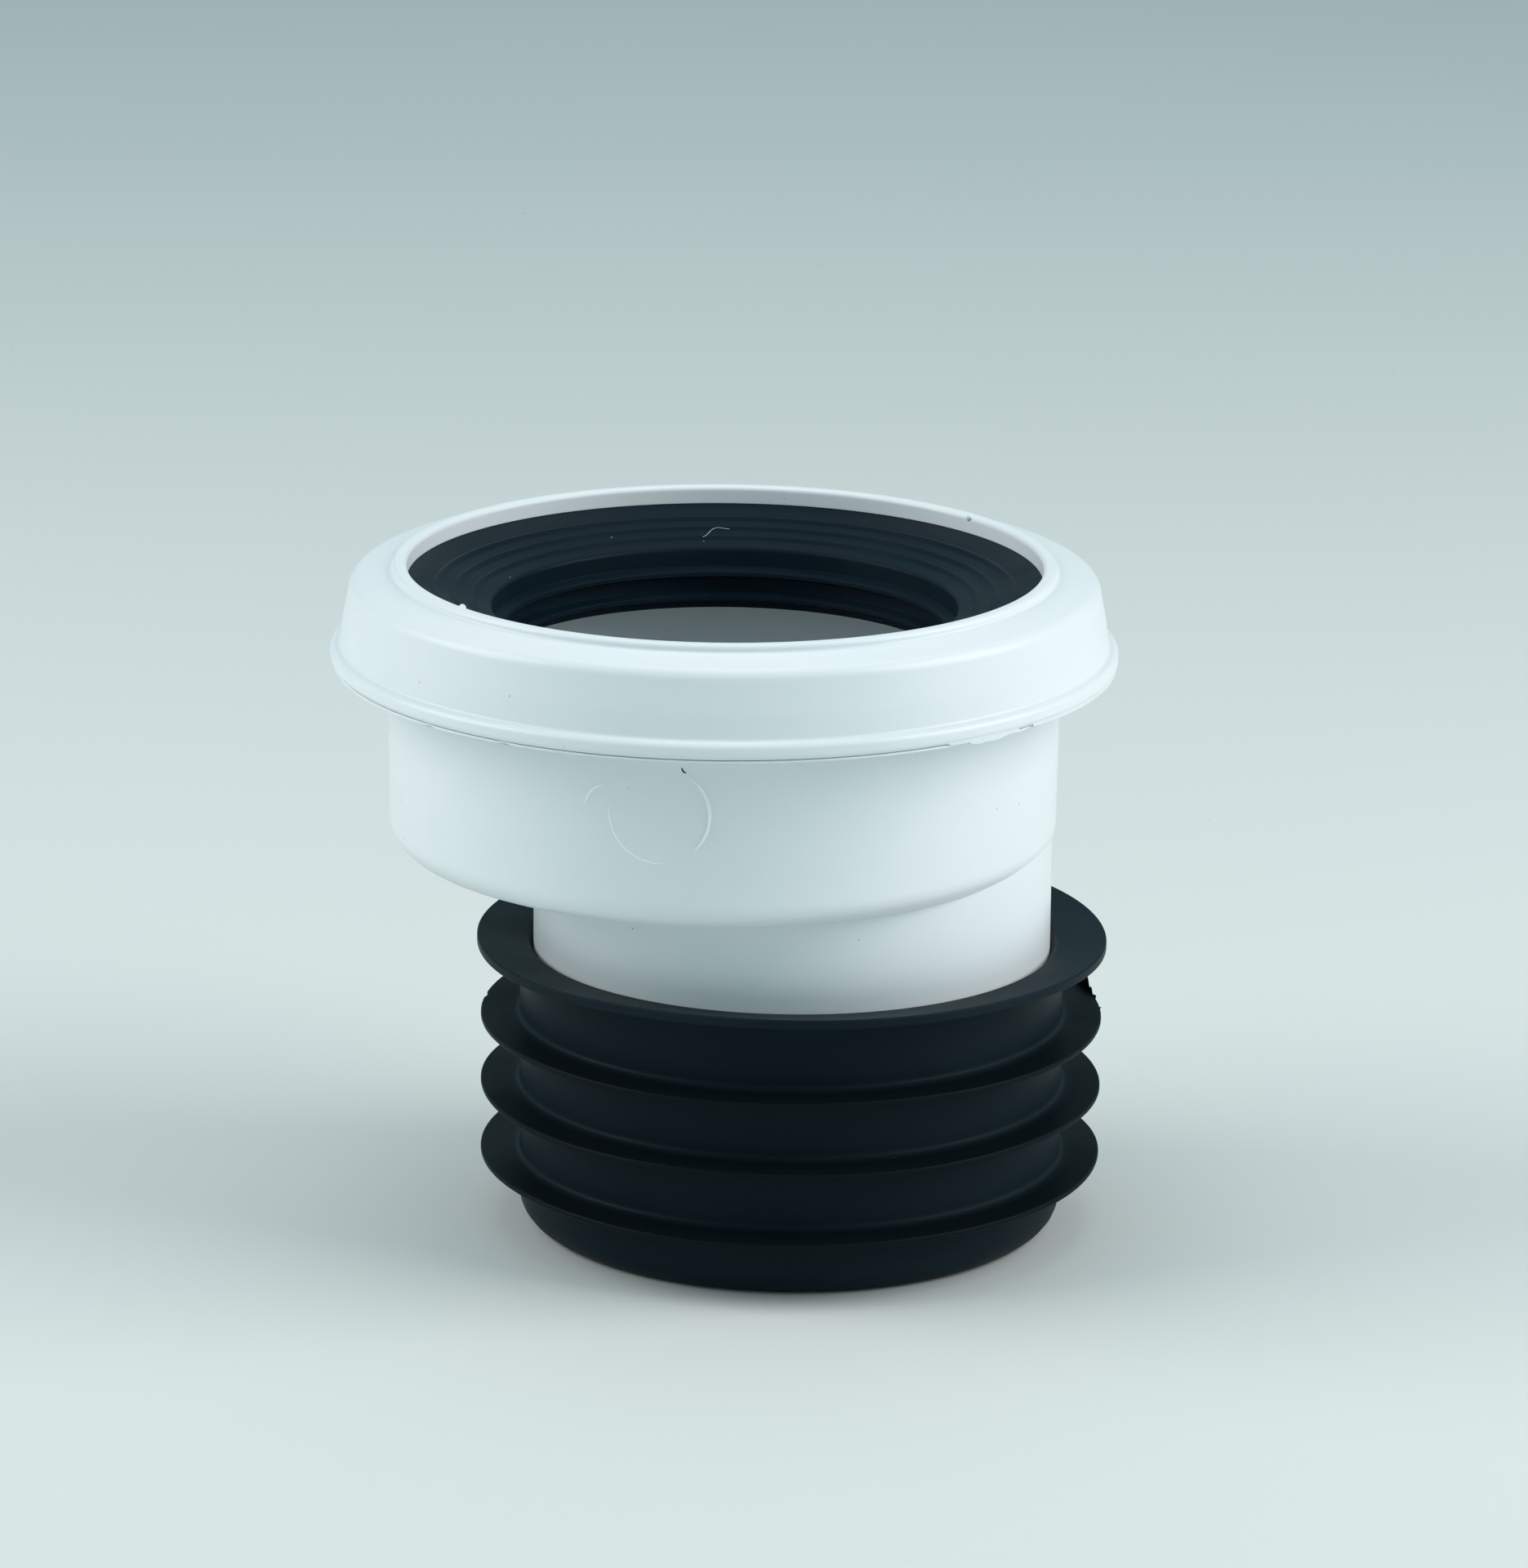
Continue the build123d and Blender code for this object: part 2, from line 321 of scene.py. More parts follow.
# Stray specks: a small ball in some of the cells of a Voronoi pattern, seen where the surface cuts it.
stray_specks, specks_in, specks_out = new_group(
    "stray_specks",
    {"Vector": "Vector", "Scale": "Float", "Size": "Float", "Share": "Float"},
    {"Mask": "Float"})
speck_cells = add_node(stray_specks, "TexVoronoi")
stray_specks.links.new(specks_in.outputs["Vector"], speck_cells.inputs["Vector"])
stray_specks.links.new(specks_in.outputs["Scale"], speck_cells.inputs["Scale"])
speck_draw = add_node(stray_specks, "SeparateColor")
stray_specks.links.new(speck_cells.outputs["Color"], speck_draw.inputs["Color"])
speck_ball = add_math(stray_specks, "LESS_THAN", speck_cells.outputs["Distance"], specks_in.outputs["Size"])
speck_kept = add_math(stray_specks, "LESS_THAN", speck_draw.outputs["Red"], specks_in.outputs["Share"])
stray_specks.links.new(add_math(stray_specks, "MULTIPLY", speck_ball, speck_kept), specks_out.inputs["Mask"])


def new_material(name, skin, bump_depth, specks, speck_color, finish):
    """Material from the two groups: a moulded skin, and specks over its colour. The bump depth is in
    millimetres, and the finish holds the values that are the same all over, which go straight on the
    shader."""
    material = bpy.data.materials.new(name)
    material.use_nodes = True
    tree = material.node_tree
    shader = tree.nodes["Principled BSDF"]
    place = add_node(tree, "TexCoord").outputs["Object"]
    skin_node = add_node(tree, "Group", node_tree=moulded_skin)
    specks_node = add_node(tree, "Group", node_tree=stray_specks)
    for node, values in ((skin_node, skin), (specks_node, specks)):
        tree.links.new(place, node.inputs["Vector"])
        for socket, value in values.items():
            node.inputs[socket].default_value = value
    color = add_node(tree, "Mix", data_type="RGBA")
    tree.links.new(specks_node.outputs["Mask"], color.inputs["Factor"])
    tree.links.new(skin_node.outputs["Color"], color.inputs["A"])
    color.inputs["B"].default_value = speck_color
    tree.links.new(color.outputs["Result"], shader.inputs["Base Color"])
    tree.links.new(skin_node.outputs["Roughness"], shader.inputs["Roughness"])
    bump = add_node(tree, "Bump")
    bump.inputs["Distance"].default_value = bump_depth * mm
    tree.links.new(skin_node.outputs["Height"], bump.inputs["Height"])
    tree.links.new(bump.outputs["Normal"], shader.inputs["Normal"])
    for socket, value in finish.items():
        shader.inputs[socket].default_value = value
    return material


plastic_bump = 0.004
plastic_specks = {"Scale": 200.0, "Size": 0.035, "Share": 0.6}
plastic_speck_color = (0.4, 0.4, 0.38, 1)
plastic_finish = {"IOR": 1.49}
body_skin = {
    "Shade": (0.80, 0.84, 0.85, 1), "Patch Shade": (0.775, 0.825, 0.84, 1),
    "Patch Scale": 24.0, "Grain Scale": 1500.0, "Roughness": 0.34, "Patch Roughness": 0.41,
}
body_white = new_material(
    "body_polypropylene", body_skin, plastic_bump, plastic_specks, plastic_speck_color, plastic_finish)

add_piece("body_moulding", body_grid(), body_white, "body")

# Mould marks on the socket's front: the edge of a round insert in the mould left a thin raised circle, which
# is clear on its right and faint on its left, and a bent scrape stands beside it. All are painted whiter than
# the body's plastic: a painted highlight, for the light that the thin ridges catch.
insert_turn = -84.75
insert_z = 89.85
insert_r = 8.8
insert_marks = {
    "insert_mark_right": {"arc": (-46, 57), "width": 0.52, "rise": 0.36},
    "insert_mark_left": {"arc": (172, 276), "width": 0.36, "rise": 0.12},
}
scrape_turns = (-97.4, -96.2, -93.7)
scrape_levels = (90.4, 93.2, 94.5)
scrape_width = 0.48
scrape_rise = 0.22
line_sunk = 0.1
line_fade = 0.2
line_end = 0.02
line_points = 16
arc_columns = 60
bend_columns = 24


def raised_line(turn, level, width, rise):
    """Low ridge along a line on the socket's wall, given by directions in degrees and heights. Its section is
    a half ellipse that stands on the wall, with a flat half sunk in it, and it narrows towards both ends."""
    turn = np.radians(turn)
    wall_z = [shoulder_z + shoulder_round, flange_z - flange_root]
    wall_r = np.interp(level, wall_z, [socket_foot_r, socket_r])
    run, climb = np.gradient(turn * wall_r), np.gradient(level)
    step = np.hypot(run, climb)
    share = np.linspace(0, 1, len(turn))
    size = np.sqrt(np.clip(np.minimum(share, 1 - share) / line_fade, line_end, 1))
    section = np.linspace(2 * np.pi, 0, line_points, endpoint=False)[:, None]
    side = width / 2 * np.cos(section) * size
    out = np.sin(section) * np.where(np.sin(section) > 0, rise * size, line_sunk)
    around = turn - side * climb / step / wall_r
    distance = wall_r + out
    height = level + side * run / step
    return np.stack([distance * np.cos(around), distance * np.sin(around), height], axis=2)


def insert_arc(first, last):
    """Directions and heights along the insert's circle, from one clock angle to another, rolled out on the
    wall."""
    clock = np.radians(np.linspace(first, last, arc_columns))
    return insert_turn + np.degrees(insert_r * np.cos(clock) / socket_r), insert_z + insert_r * np.sin(clock)


def bent_line(turns, levels):
    """Directions and heights along the parabola through three points on the wall, the second half way along
    it."""
    share = np.linspace(0, 1, bend_columns)
    return [np.polyval(np.polyfit((0, 0.5, 1), values, 2), share) for values in (turns, levels)]


# Painted highlight: the marks get a whiter shade than the body, standing in for the light on the ridges'
# flanks.
mark_highlight_skin = {**body_skin, "Shade": (0.93, 0.95, 0.95, 1), "Patch Shade": (0.91, 0.94, 0.945, 1)}
mark_highlight_white = new_material(
    "mark_polypropylene_painted_highlight", mark_highlight_skin, plastic_bump, plastic_specks, plastic_speck_color, plastic_finish)

for name, mark in insert_marks.items():
    mark_grid = raised_line(*insert_arc(*mark["arc"]), mark["width"], mark["rise"])
    add_piece(name, mark_grid, mark_highlight_white, ring=False)
scrape_grid = raised_line(*bent_line(scrape_turns, scrape_levels), scrape_width, scrape_rise)
add_piece("mould_scrape", scrape_grid, mark_highlight_white, ring=False)

# Outlet seal: a black rubber sleeve stretched over the spigot, moulded in one with three fins and a wider
# collar fin. Its foot turns in under the spigot's end, and a groove inside takes the spigot's bead. The three
# fins are painted darker than the sleeve: painted shade, for the shade they lie in under the collar.
sleeve_inner_r = 46.3
sleeve_r = 48.6
end_lip_r = 42.4
foot_round = 5.0
fin_r = mounts["outlet"]["dims"]["r_mm"]
fin_first_z = 11.7
fin_pitch = 12.75
fin_count = 3
fin_tip = 1.0
fin_root = 2.3
fin_rise = 0.4
fin_root_round = 0.9
fin_tip_round = 0.35
collar_r = (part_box("outlet_seal")[1][0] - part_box("outlet_seal")[0][0]) / 2 / mm
collar_z = 51.4
collar_tip = 1.7
collar_rise = 1.0
collar_dish = 1.2
mouth_gap = 1.2
mouth_depth = 2.6
mouth_round = 0.3
groove_half = 1.1
fin_sag = (0.5, 0.35, 0.1, -0.4)
fin_sag_turn = -74.4
fin_wave = 0.1
fin_wave_count = 5
fin_wave_shift = 3.3
fin_nick_turn = -172.0
fin_nick_depth = 0.45
# Painted shade on the three fins: a darker colour stands in for the shade under the collar and the fins
# above.
painted_fin_shade = (0.0034, 0.0070, 0.0098, 1)
fin_shade_from = 0.6
fin_shade_full = 2.6
fin_shade_low_z = 42.0
fin_shade_top_z = 48.0


def revolved(corners, axis_x):
    """Surface of revolution of a closed outline of (radius, height, rounding) corners about the line at
    axis_x: the outline starts half way along its last side, and each of its rows becomes a circle."""
    start = tuple((np.array(corners[0][:2]) + corners[-1][:2]) / 2)
    rows = rounded_path([start, *corners, start])
    radius, height = rows[:, :1], rows[:, 1:]
    level = np.repeat(height, columns, axis=1)
    return np.stack([axis_x + radius * np.cos(angle), radius * np.sin(angle), level], axis=2)


def fin(level, radius, tip, rise):
    """Corners of one fin, from its lower root round its rim to its upper root."""
    spread = (fin_root - fin_tip) / 2
    root = level - rise
    return [
        (sleeve_r, root - spread, fin_root_round),
        (radius, level, fin_tip_round),
        (radius, level + tip, fin_tip_round),
        (sleeve_r, root + fin_tip + spread, fin_root_round),
    ]


groove_r = sleeve_inner_r + spigot_bead_height
groove_land = groove_half - spigot_bead_height
outlet_seal_corners = [(end_lip_r, 0), (sleeve_r, 0, foot_round)]
for step in range(fin_count):
    outlet_seal_corners += fin(fin_first_z + fin_pitch * step, fin_r, fin_tip, fin_rise)
collar_top_z = collar_z + collar_tip
outlet_seal_corners += fin(collar_z, collar_r, collar_tip, collar_rise)[:3]
outlet_seal_corners += [
    (sleeve_inner_r + mouth_gap, collar_top_z - collar_dish, mouth_round),
    (sleeve_inner_r, collar_top_z - mouth_depth),
    (sleeve_inner_r, spigot_bead_z + groove_half),
    (groove_r, spigot_bead_z + groove_land),
    (groove_r, spigot_bead_z - groove_land),
    (sleeve_inner_r, spigot_bead_z - groove_half),
    (sleeve_inner_r, spigot_end_z),
    (end_lip_r, spigot_end_z),
]


def limp(seal):
    """The seal with its fins a little out of true. A point beyond the sleeve moves up or down, by the square
    of its share of the fin's reach, along a saddle that dips in front and behind and along a finer sine wave,
    both other ones for each fin. One rim has a nick."""
    share = np.clip((np.hypot(seal[..., 0] - outlet_x, seal[..., 1]) - sleeve_r) / (fin_r - sleeve_r), 0, 1)
    number = np.clip(np.round((seal[..., 2] - fin_first_z) / fin_pitch), 0, fin_count).astype(int)
    saddle = -np.array(fin_sag)[number] * np.cos(2 * np.radians(turned_from(fin_sag_turn)))
    drop = saddle + fin_wave * np.sin(fin_wave_count * angle + fin_wave_shift * number)
    nick = fin_nick_depth * share * (number == fin_count - 1) * np.exp(-turned_from(fin_nick_turn) ** 2)
    return seal + np.stack([-nick * np.cos(angle), -nick * np.sin(angle), share ** 2 * drop], axis=2)


outlet_bump = 0.008
outlet_specks = {"Scale": 170.0, "Size": 0.03, "Share": 0.3}
outlet_speck_color = (0.12, 0.13, 0.14, 1)
rubber_finish = {"IOR": 1.52, "Specular IOR Level": 0.06}
# Rubber skin: the rubber's own near-black, and in its blue tint a painted reflection of blue surroundings.
outlet_skin = {
    "Shade": (0.0058, 0.0138, 0.019, 1), "Patch Shade": (0.0078, 0.0165, 0.022, 1),
    "Patch Scale": 30.0, "Grain Scale": 1100.0, "Roughness": 0.45, "Patch Roughness": 0.56,
}
outlet_black = new_material(
    "outlet_rubber_skin", outlet_skin, outlet_bump, outlet_specks, outlet_speck_color, rubber_finish)


def paint_fin_shade(material):
    """Paints shade on a material from the fins' roots outwards, below the collar: the base colour darkens by
    a smooth step over the distance from the outlet's axis, times one over the height."""
    tree = material.node_tree
    base = tree.nodes["Principled BSDF"].inputs["Base Color"]
    unshaded_color = base.links[0].from_socket
    place = add_node(tree, "SeparateXYZ")
    tree.links.new(add_node(tree, "TexCoord").outputs["Object"], place.inputs["Vector"])
    off_axis = add_math(tree, "SUBTRACT", place.outputs["X"], outlet_x * mm)
    squares = [add_math(tree, "MULTIPLY", offset, offset) for offset in (off_axis, place.outputs["Y"])]
    distance = add_math(tree, "POWER", add_math(tree, "ADD", *squares), 0.5)
    beyond = add_step(tree, distance, (sleeve_r + fin_shade_from) * mm, (sleeve_r + fin_shade_full) * mm)
    below = add_step(tree, place.outputs["Z"], fin_shade_top_z * mm, fin_shade_low_z * mm)
    color = add_node(tree, "Mix", data_type="RGBA")
    tree.links.new(add_math(tree, "MULTIPLY", beyond, below), color.inputs["Factor"])
    tree.links.new(unshaded_color, color.inputs["A"])
    color.inputs["B"].default_value = painted_fin_shade
    tree.links.new(color.outputs["Result"], base)


paint_fin_shade(outlet_black)
seal_grid = limp(revolved(outlet_seal_corners, outlet_x))
add_piece("outlet_fin_seal", seal_grid, outlet_black, "outlet_seal")

# Torn flash: a thin ragged web of the same rubber, left standing on the rim of the highest of the three
# equal fins where the mould's halves met, and torn down to short spikes.
torn_turns = (39.6, 39, 37.3, 34.8, 32.2, 31.3, 30, 28.7, 27.5, 26, 24, 23, 20.5, 18.3, 17.5, 16.8)
torn_rise = (0.0, 0.5, 0.8, 1.3, 2.0, 2.8, 2.1, 1.0, 1.2, 0.35, 0.7, 0.15, 0.2, 0.1, 0.45, 0.0)
torn_lean = (0.0, 0.0, 0.1, 0.1, 0.15, 0.3, 0.2, 0.1, 0.2, 0.1, 0.35, 0.0, 0.1, 0.1, 0.5, 0.0)
torn_root = 0.3
web_foot = 0.35
web_edge = 0.12
web_columns = 200


def torn_web(turns, heights, leans, axis_x, radius, foot_z):
    """Thin strip along a round edge, which stands where its heights are above nought and hangs where they are
    below. Its free edge has these heights over the foot and leans out by these leans, with straight lines
    between them, and the sheet thins evenly from the foot, which is sunk in the edge."""
    share = np.linspace(0, 1, web_columns)
    knots = (np.array(turns) - turns[0]) / (turns[-1] - turns[0])
    turn = np.radians(turns[0] + share * (turns[-1] - turns[0]))
    height, lean = np.interp(share, knots, heights), np.interp(share, knots, leans)
    up = np.array([0, 0.4, 0.75, 1, 1, 0.75, 0.4, 0])[:, None]
    side = np.array([-1, -1, -1, -1, 1, 1, 1, 1])[:, None]
    distance = radius + lean * up ** 2 + side * (web_foot + up * (web_edge - web_foot)) / 2
    return np.stack([axis_x + distance * np.cos(turn), distance * np.sin(turn), foot_z + up * height], axis=2)


torn_foot_z = fin_first_z + fin_pitch * (fin_count - 1) + fin_tip - torn_root
torn_heights = np.array(torn_rise) + torn_root
torn_flash = torn_web(torn_turns, torn_heights, torn_lean, outlet_x, fin_r - web_foot, torn_foot_z)
add_piece("torn_flash", torn_flash, outlet_black, ring=False)

# Rubber crumb: a thin bent crumb of the seal's black rubber. It has stuck on the socket's front, where the
# insert's circle ends under the flange.
crumb_turns = (-80.95, -80.75, -80.2)
crumb_levels = (98.45, 97.8, 97.5)
crumb_width = 0.24
crumb_rise = 0.15

crumb_grid = raised_line(*bent_line(crumb_turns, crumb_levels), crumb_width, crumb_rise)
add_piece("rubber_crumb", crumb_grid, outlet_black, ring=False)

# Inlet seal: a black rubber ring that the cap clamps on the socket's rim. Its ridged funnel slopes in to a
# short tube with two grip rings, which stretch over the end of the pan's outlet.
lip_bore_r = 56.4
lip_outer_r = 59.0
lip_height = 3.2
seat_z = crest_z - lip_height
slope_drop = 1.5
seal_clearance = 0.15
skirt_inner_r = socket_r + seal_clearance
skirt_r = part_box("inlet_seal")[1][0] / mm
skirt_length = 4.4
skirt_foot_z = rim_z - skirt_length
skirt_round = 0.8
clamp_overhang = 0.7
clamp_inner_r = socket_r - body_wall - clamp_overhang
funnel_drop = 4.7
funnel_wall = 2.5
ridge_count = 3
ridge_first = 3.5
ridge_pitch = 3.2
ridge_height = 0.45
ridge_half = 0.8
ridge_round = 0.3
tube_r = 41.3
tube_outer_r = 43.6
tube_foot_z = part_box("inlet_seal")[0][2] / mm
tube_round = 0.8
grip_ring_count = 2
grip_ring_r = mounts["inlet"]["dims"]["r_mm"]
grip_ring_half = 1.1
grip_ring_land = 0.4
grip_ring_rest = 0.5


def funnel_z(radius):
    """Height of the funnel's upper face, which drops evenly from the cap's bore to the tube."""
    return seat_z - funnel_drop * (lip_bore_r - radius) / (lip_bore_r - tube_r)


tube_top_z = seat_z - funnel_drop
grip_ring_pitch = (tube_top_z - tube_foot_z) / (grip_ring_count + grip_ring_rest)
inlet_seal_corners = [
    (tube_outer_r, tube_foot_z, tube_round),
    (tube_outer_r, funnel_z(tube_outer_r) - funnel_wall, tube_round),
    (clamp_inner_r, funnel_z(clamp_inner_r) - funnel_wall),
    (clamp_inner_r, rim_z),
    (skirt_inner_r, rim_z),
    (skirt_inner_r, skirt_foot_z),
    (skirt_r, skirt_foot_z, skirt_round),
    (skirt_r, seat_z - slope_drop, skirt_round),
    (lip_outer_r - seal_clearance, seat_z),
    (lip_bore_r, seat_z),
]
for step in reversed(range(ridge_count)):
    ridge_r = tube_r + ridge_first + ridge_pitch * step
    inlet_seal_corners += [
        (ridge_r + ridge_half, funnel_z(ridge_r + ridge_half)),
        (ridge_r, funnel_z(ridge_r) + ridge_height, ridge_round),
        (ridge_r - ridge_half, funnel_z(ridge_r - ridge_half)),
    ]
inlet_seal_corners.append((tube_r, tube_top_z, tube_round))
for step in range(1, grip_ring_count + 1):
    ring_z = tube_top_z - grip_ring_pitch * step
    inlet_seal_corners += [
        (tube_r, ring_z + grip_ring_half),
        (grip_ring_r, ring_z + grip_ring_land),
        (grip_ring_r, ring_z - grip_ring_land),
        (tube_r, ring_z - grip_ring_half),
    ]
inlet_seal_corners.append((tube_r, tube_foot_z))

inlet_bump = 0.003
inlet_specks = {"Scale": 190.0, "Size": 0.035, "Share": 0.4}
inlet_speck_color = (0.20, 0.22, 0.23, 1)
# Rubber skin: the rubber's own near-black, and in its blue tint a painted reflection of blue surroundings.
inlet_skin = {
    "Shade": (0.0037, 0.0112, 0.018, 1), "Patch Shade": (0.0054, 0.0134, 0.021, 1),
    "Patch Scale": 45.0, "Grain Scale": 1300.0, "Roughness": 0.36, "Patch Roughness": 0.48,
}
inlet_black = new_material(
    "inlet_rubber_skin", inlet_skin, inlet_bump, inlet_specks, inlet_speck_color, rubber_finish)

add_piece("inlet_seal_ring", revolved(inlet_seal_corners, 0), inlet_black, "inlet_seal")

# Swarf: a fine curl of white polypropylene, trimmed off a moulding. It has stayed in the mouth and lies loose
# across the funnel's ridges.
swarf_knots = (0, 0.33, 0.52, 0.75, 1)
swarf_turns = (111.3, 109.4, 108.4, 107.0, 105.05)
swarf_reach = (44.3, 46.1, 47.1, 47.25, 46.9)
swarf_r = 0.03
swarf_columns = 60
swarf_points = 8


def swarf_curl():
    """Tube round a smooth line: polynomials in the line's share pass through its directions and distances, it
    lies on the funnel's ridges, and the tube's section is a circle across the line."""
    share = np.linspace(0, 1, swarf_columns)
    degree = len(swarf_knots) - 1
    turn = np.radians(np.polyval(np.polyfit(swarf_knots, swarf_turns, degree), share))
    distance = np.polyval(np.polyfit(swarf_knots, swarf_reach, degree), share)
    level = funnel_z(distance) + ridge_height + swarf_r
    line = np.stack([distance * np.cos(turn), distance * np.sin(turn), level], axis=1)
    ahead = np.gradient(line, axis=0)
    ahead /= np.linalg.norm(ahead, axis=1, keepdims=True)
    across = np.cross(ahead, (0, 0, 1))
    across /= np.linalg.norm(across, axis=1, keepdims=True)
    over = np.cross(across, ahead)
    section = np.linspace(0, 2 * np.pi, swarf_points, endpoint=False)[:, None, None]
    return line + swarf_r * (np.cos(section) * across + np.sin(section) * over)


add_piece("swarf_curl", swarf_curl(), body_white, ring=False)

# Retaining cap: a separate white polypropylene ring, pushed down over the socket's rim until its hook clips
# under the ring there. Its lip frames the mouth, its skirt flares out to a rolled bead, and it clamps the
# inlet seal.
cap_wall = 2.3
lip_round = 0.8
lip_step = 1.3
lip_foot_round = 0.5
cap_corner_round = 2.2
cap_break_drop = 10.2
cap_break_z = crest_z - cap_break_drop
cap_break_round = 12.0
cap_skirt_r = 68.2
cap_flare_above = 1.45
cap_flare_below = 0.45
cap_bead_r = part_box("retaining_cap")[1][0] / mm
cap_bead_height = 3.1
cap_bead_round = 1.15
cap_bead_fillet = 0.55
hook_bite = 0.5
hook_r = snap_ring_r - hook_bite
hook_lead = 0.7
hook_height = 2.3
hook_top_z = flange_z + hook_height

cap_break_r = cap_skirt_r - cap_flare_below
cap_corner_r = cap_break_r - cap_flare_above
cap_corners = [
    (hook_r + hook_lead, flange_z),
    (cap_bead_r, flange_z, cap_bead_round),
    (cap_bead_r, flange_z + cap_bead_height, cap_bead_round),
    (cap_skirt_r, flange_z + cap_bead_height, cap_bead_fillet),
    (cap_break_r, cap_break_z, cap_break_round),
    (cap_corner_r, crest_z - lip_step - slope_drop, cap_corner_round),
    (lip_outer_r, crest_z - lip_step, lip_foot_round),
    (lip_outer_r, crest_z, lip_round),
    (lip_bore_r, crest_z, lip_round),
    (lip_bore_r, seat_z),
    (lip_outer_r, seat_z),
    (cap_corner_r - cap_wall, seat_z - slope_drop, lip_foot_round),
    (cap_break_r - cap_wall, cap_break_z),
    (cap_skirt_r - cap_wall, hook_top_z),
    (hook_r, hook_top_z),
    (hook_r, flange_z + hook_lead),
]

cap_skin = {
    "Shade": (0.81, 0.85, 0.86, 1), "Patch Shade": (0.785, 0.835, 0.85, 1),
    "Patch Scale": 28.0, "Grain Scale": 1500.0, "Roughness": 0.33, "Patch Roughness": 0.40,
}
cap_white = new_material(
    "cap_polypropylene", cap_skin, plastic_bump, plastic_specks, plastic_speck_color, plastic_finish)

add_piece("retaining_cap_ring", revolved(cap_corners, 0), cap_white, "retaining_cap")

# Cap flash: a thin ragged web of the cap's own plastic, squeezed out between the mould's halves along one
# side of the bead. It hides most of the joint there, hangs down in one flake and is broken away beyond it.
flash_turns = (-41.5, -40, -38, -36.7, -36.5, -34.8, -33.7, -32.5, -31, -30.2, -29, -27.4, -27,
               -24.3, -23.9, -16, -6, 4, 12, 20, 26)
flash_drop = (-0.6, 0.05, 0.12, 0.12, 0.5, 0.7, 0.55, 0.66, 0.64, 0.4, 0.2, 0.1, -0.6,
              -0.6, 0.1, 0.16, 0.1, 0.16, 0.12, 0.1, -0.6)
flash_root = 0.75
flash_clearance = 0.1

flash_heights = -np.array(flash_drop) - flash_root
flash_lean = np.zeros(len(flash_turns))
flash_r = flange_r + flash_clearance
cap_flash = torn_web(flash_turns, flash_heights, flash_lean, 0, flash_r, flange_z + flash_root)
add_piece("cap_flash", cap_flash, cap_white, ring=False)

# Pips: two small nubs of the cap's own plastic, where it ran into the mould. They stand nearly opposite each
# other on the lip's inner edge.
pip_turns = (54.6, -127.5)
pip_half_length = 0.75
pip_half_width = 0.6
pip_half_height = 0.7
pip_inset = 0.25
pip_rise = 0.4
pip_tip = 0.05
pip_columns = 13
pip_points = 12


def pip(turn):
    """Ellipsoid on the lip's inner edge: circles across its length, which swell and shrink as a sine."""
    polar = np.linspace(pip_tip, np.pi - pip_tip, pip_columns)
    section = np.linspace(0, 2 * np.pi, pip_points, endpoint=False)[:, None]
    along = np.repeat(-pip_half_length * np.cos(polar)[None], pip_points, axis=0)
    distance = lip_bore_r + pip_inset + pip_half_width * np.sin(polar) * np.cos(section)
    level = crest_z + pip_rise - pip_half_height + pip_half_height * np.sin(polar) * np.sin(section)
    out = np.array([math.cos(turn), math.sin(turn)])
    ahead = np.array([-math.sin(turn), math.cos(turn)])
    flat = distance[..., None] * out + along[..., None] * ahead
    return np.concatenate([flat, level[..., None]], axis=2)


for number, turn in enumerate(pip_turns):
    add_piece(f"lip_pip_{number}", pip(math.radians(turn)), cap_white, ring=False)

# Studio: a wide floor of matt pale paint, a soft box at each side, one overhead and a cool pale room around
# them. The boxes are placed by the camera's own right and back, and face the object's middle.
floor_half = 4000.0
floor_sides = np.array([(-1, -1, 0), (1, -1, 0), (1, 1, 0), (-1, 1, 0)])
floor_bump = 0.01
floor_specks = {"Scale": 40.0, "Size": 0.02, "Share": 0.2}
floor_speck_color = (0.5, 0.55, 0.55, 1)
floor_skin = {
    "Shade": (0.70, 0.73, 0.71, 1), "Patch Shade": (0.69, 0.72, 0.70, 1),
    "Patch Scale": 3.0, "Grain Scale": 300.0, "Roughness": 0.75, "Patch Roughness": 0.8,
}
floor_paint = new_material("floor_paint", floor_skin, floor_bump, floor_specks, floor_speck_color, {})
floor_mesh = bpy.data.meshes.new("studio_floor")
floor_mesh.from_pydata(floor_sides * floor_half * mm, [], [(0, 1, 2, 3)])
floor_mesh.materials.append(floor_paint)
floor = bpy.data.objects.new("studio_floor", floor_mesh)
bpy.context.scene.collection.objects.link(floor)

camera_azimuth = math.radians(15.6)
camera_elevation = math.radians(15.6)
camera_roll = math.radians(0.6)
camera_distance = 1500.0
camera_aim = Vector((7.0, 1.95, 79.1))
focal_length = 192.94
level_right = Vector((math.cos(camera_azimuth), math.sin(camera_azimuth), 0))
level_back = Vector((math.sin(camera_azimuth), -math.cos(camera_azimuth), 0))


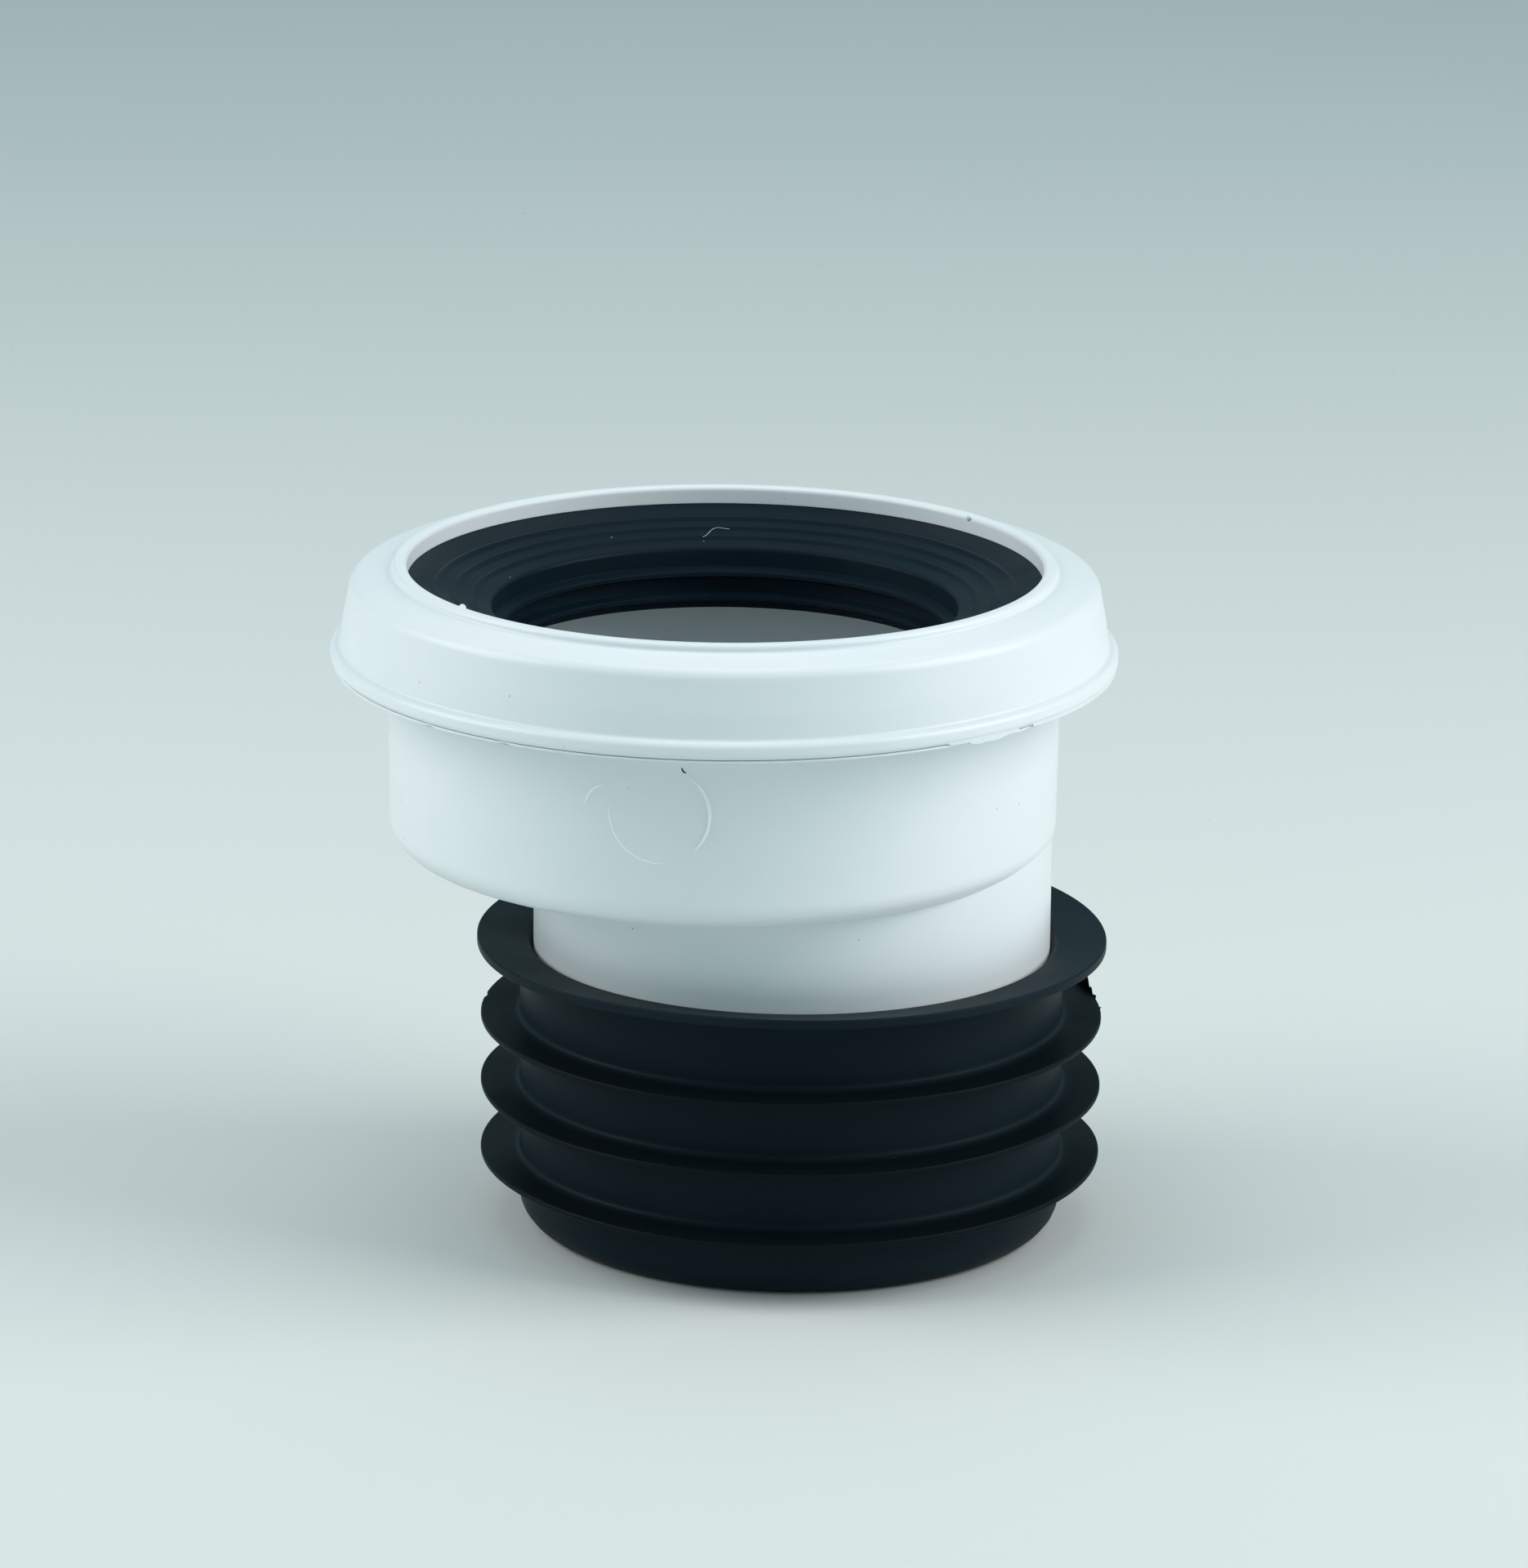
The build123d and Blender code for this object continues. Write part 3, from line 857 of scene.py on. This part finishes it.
def add_soft_box(name, place, size, power, color):
    """Square area lamp, at metres to the right, towards the camera and up, turned to face the object's
    middle."""
    lamp = bpy.data.lights.new(name, "AREA")
    lamp.shape = "SQUARE"
    lamp.size = size
    lamp.energy = power
    lamp.color = color
    box = bpy.data.objects.new(name, lamp)
    box.location = level_right * place[0] + level_back * place[1] + Vector((0, 0, place[2]))
    box.rotation_euler = (camera_aim * mm - box.location).to_track_quat("-Z", "Y").to_euler()
    bpy.context.scene.collection.objects.link(box)


add_soft_box("left_soft_box", place=(-1.0, 0.08, 0.75), size=0.9, power=9.0, color=(1.0, 0.95, 0.96))
add_soft_box("right_soft_box", place=(1.0, 0.2, 0.75), size=0.9, power=11.2, color=(1.0, 0.95, 0.96))
add_soft_box("overhead_soft_box", place=(0, -0.4, 1.4), size=1.2, power=2.5, color=(1.0, 0.9, 0.9))

room_color = (0.58, 0.90, 0.96, 1)
room_strength = 0.44
room = bpy.data.worlds.new("pale_room")
room.use_nodes = True
room_background = room.node_tree.nodes["Background"]
room_background.inputs["Color"].default_value = room_color
room_background.inputs["Strength"].default_value = room_strength
bpy.context.scene.world = room

# Camera: a long lens at the photograph's angle and framing, 1.5 m from the object, with the photograph's
# small roll. Its place and turn are written straight into its matrix.
sensor_width = 36
clip_end = 100
view_back = level_back * math.cos(camera_elevation) + Vector((0, 0, math.sin(camera_elevation)))
level_up = view_back.cross(level_right)
view_right = level_right * math.cos(camera_roll) + level_up * math.sin(camera_roll)
view_up = level_up * math.cos(camera_roll) - level_right * math.sin(camera_roll)
camera_data = bpy.data.cameras.new("camera")
camera_data.lens = focal_length
camera_data.sensor_width = sensor_width
camera_data.clip_end = clip_end
camera = bpy.data.objects.new("camera", camera_data)
camera.matrix_world = Matrix.Translation((camera_aim + view_back * camera_distance) * mm) @ Matrix(
    (view_right, view_up, view_back)).transposed().to_4x4()
bpy.context.scene.collection.objects.link(camera)
bpy.context.scene.camera = camera
bpy.context.scene.view_settings.view_transform = "Standard"
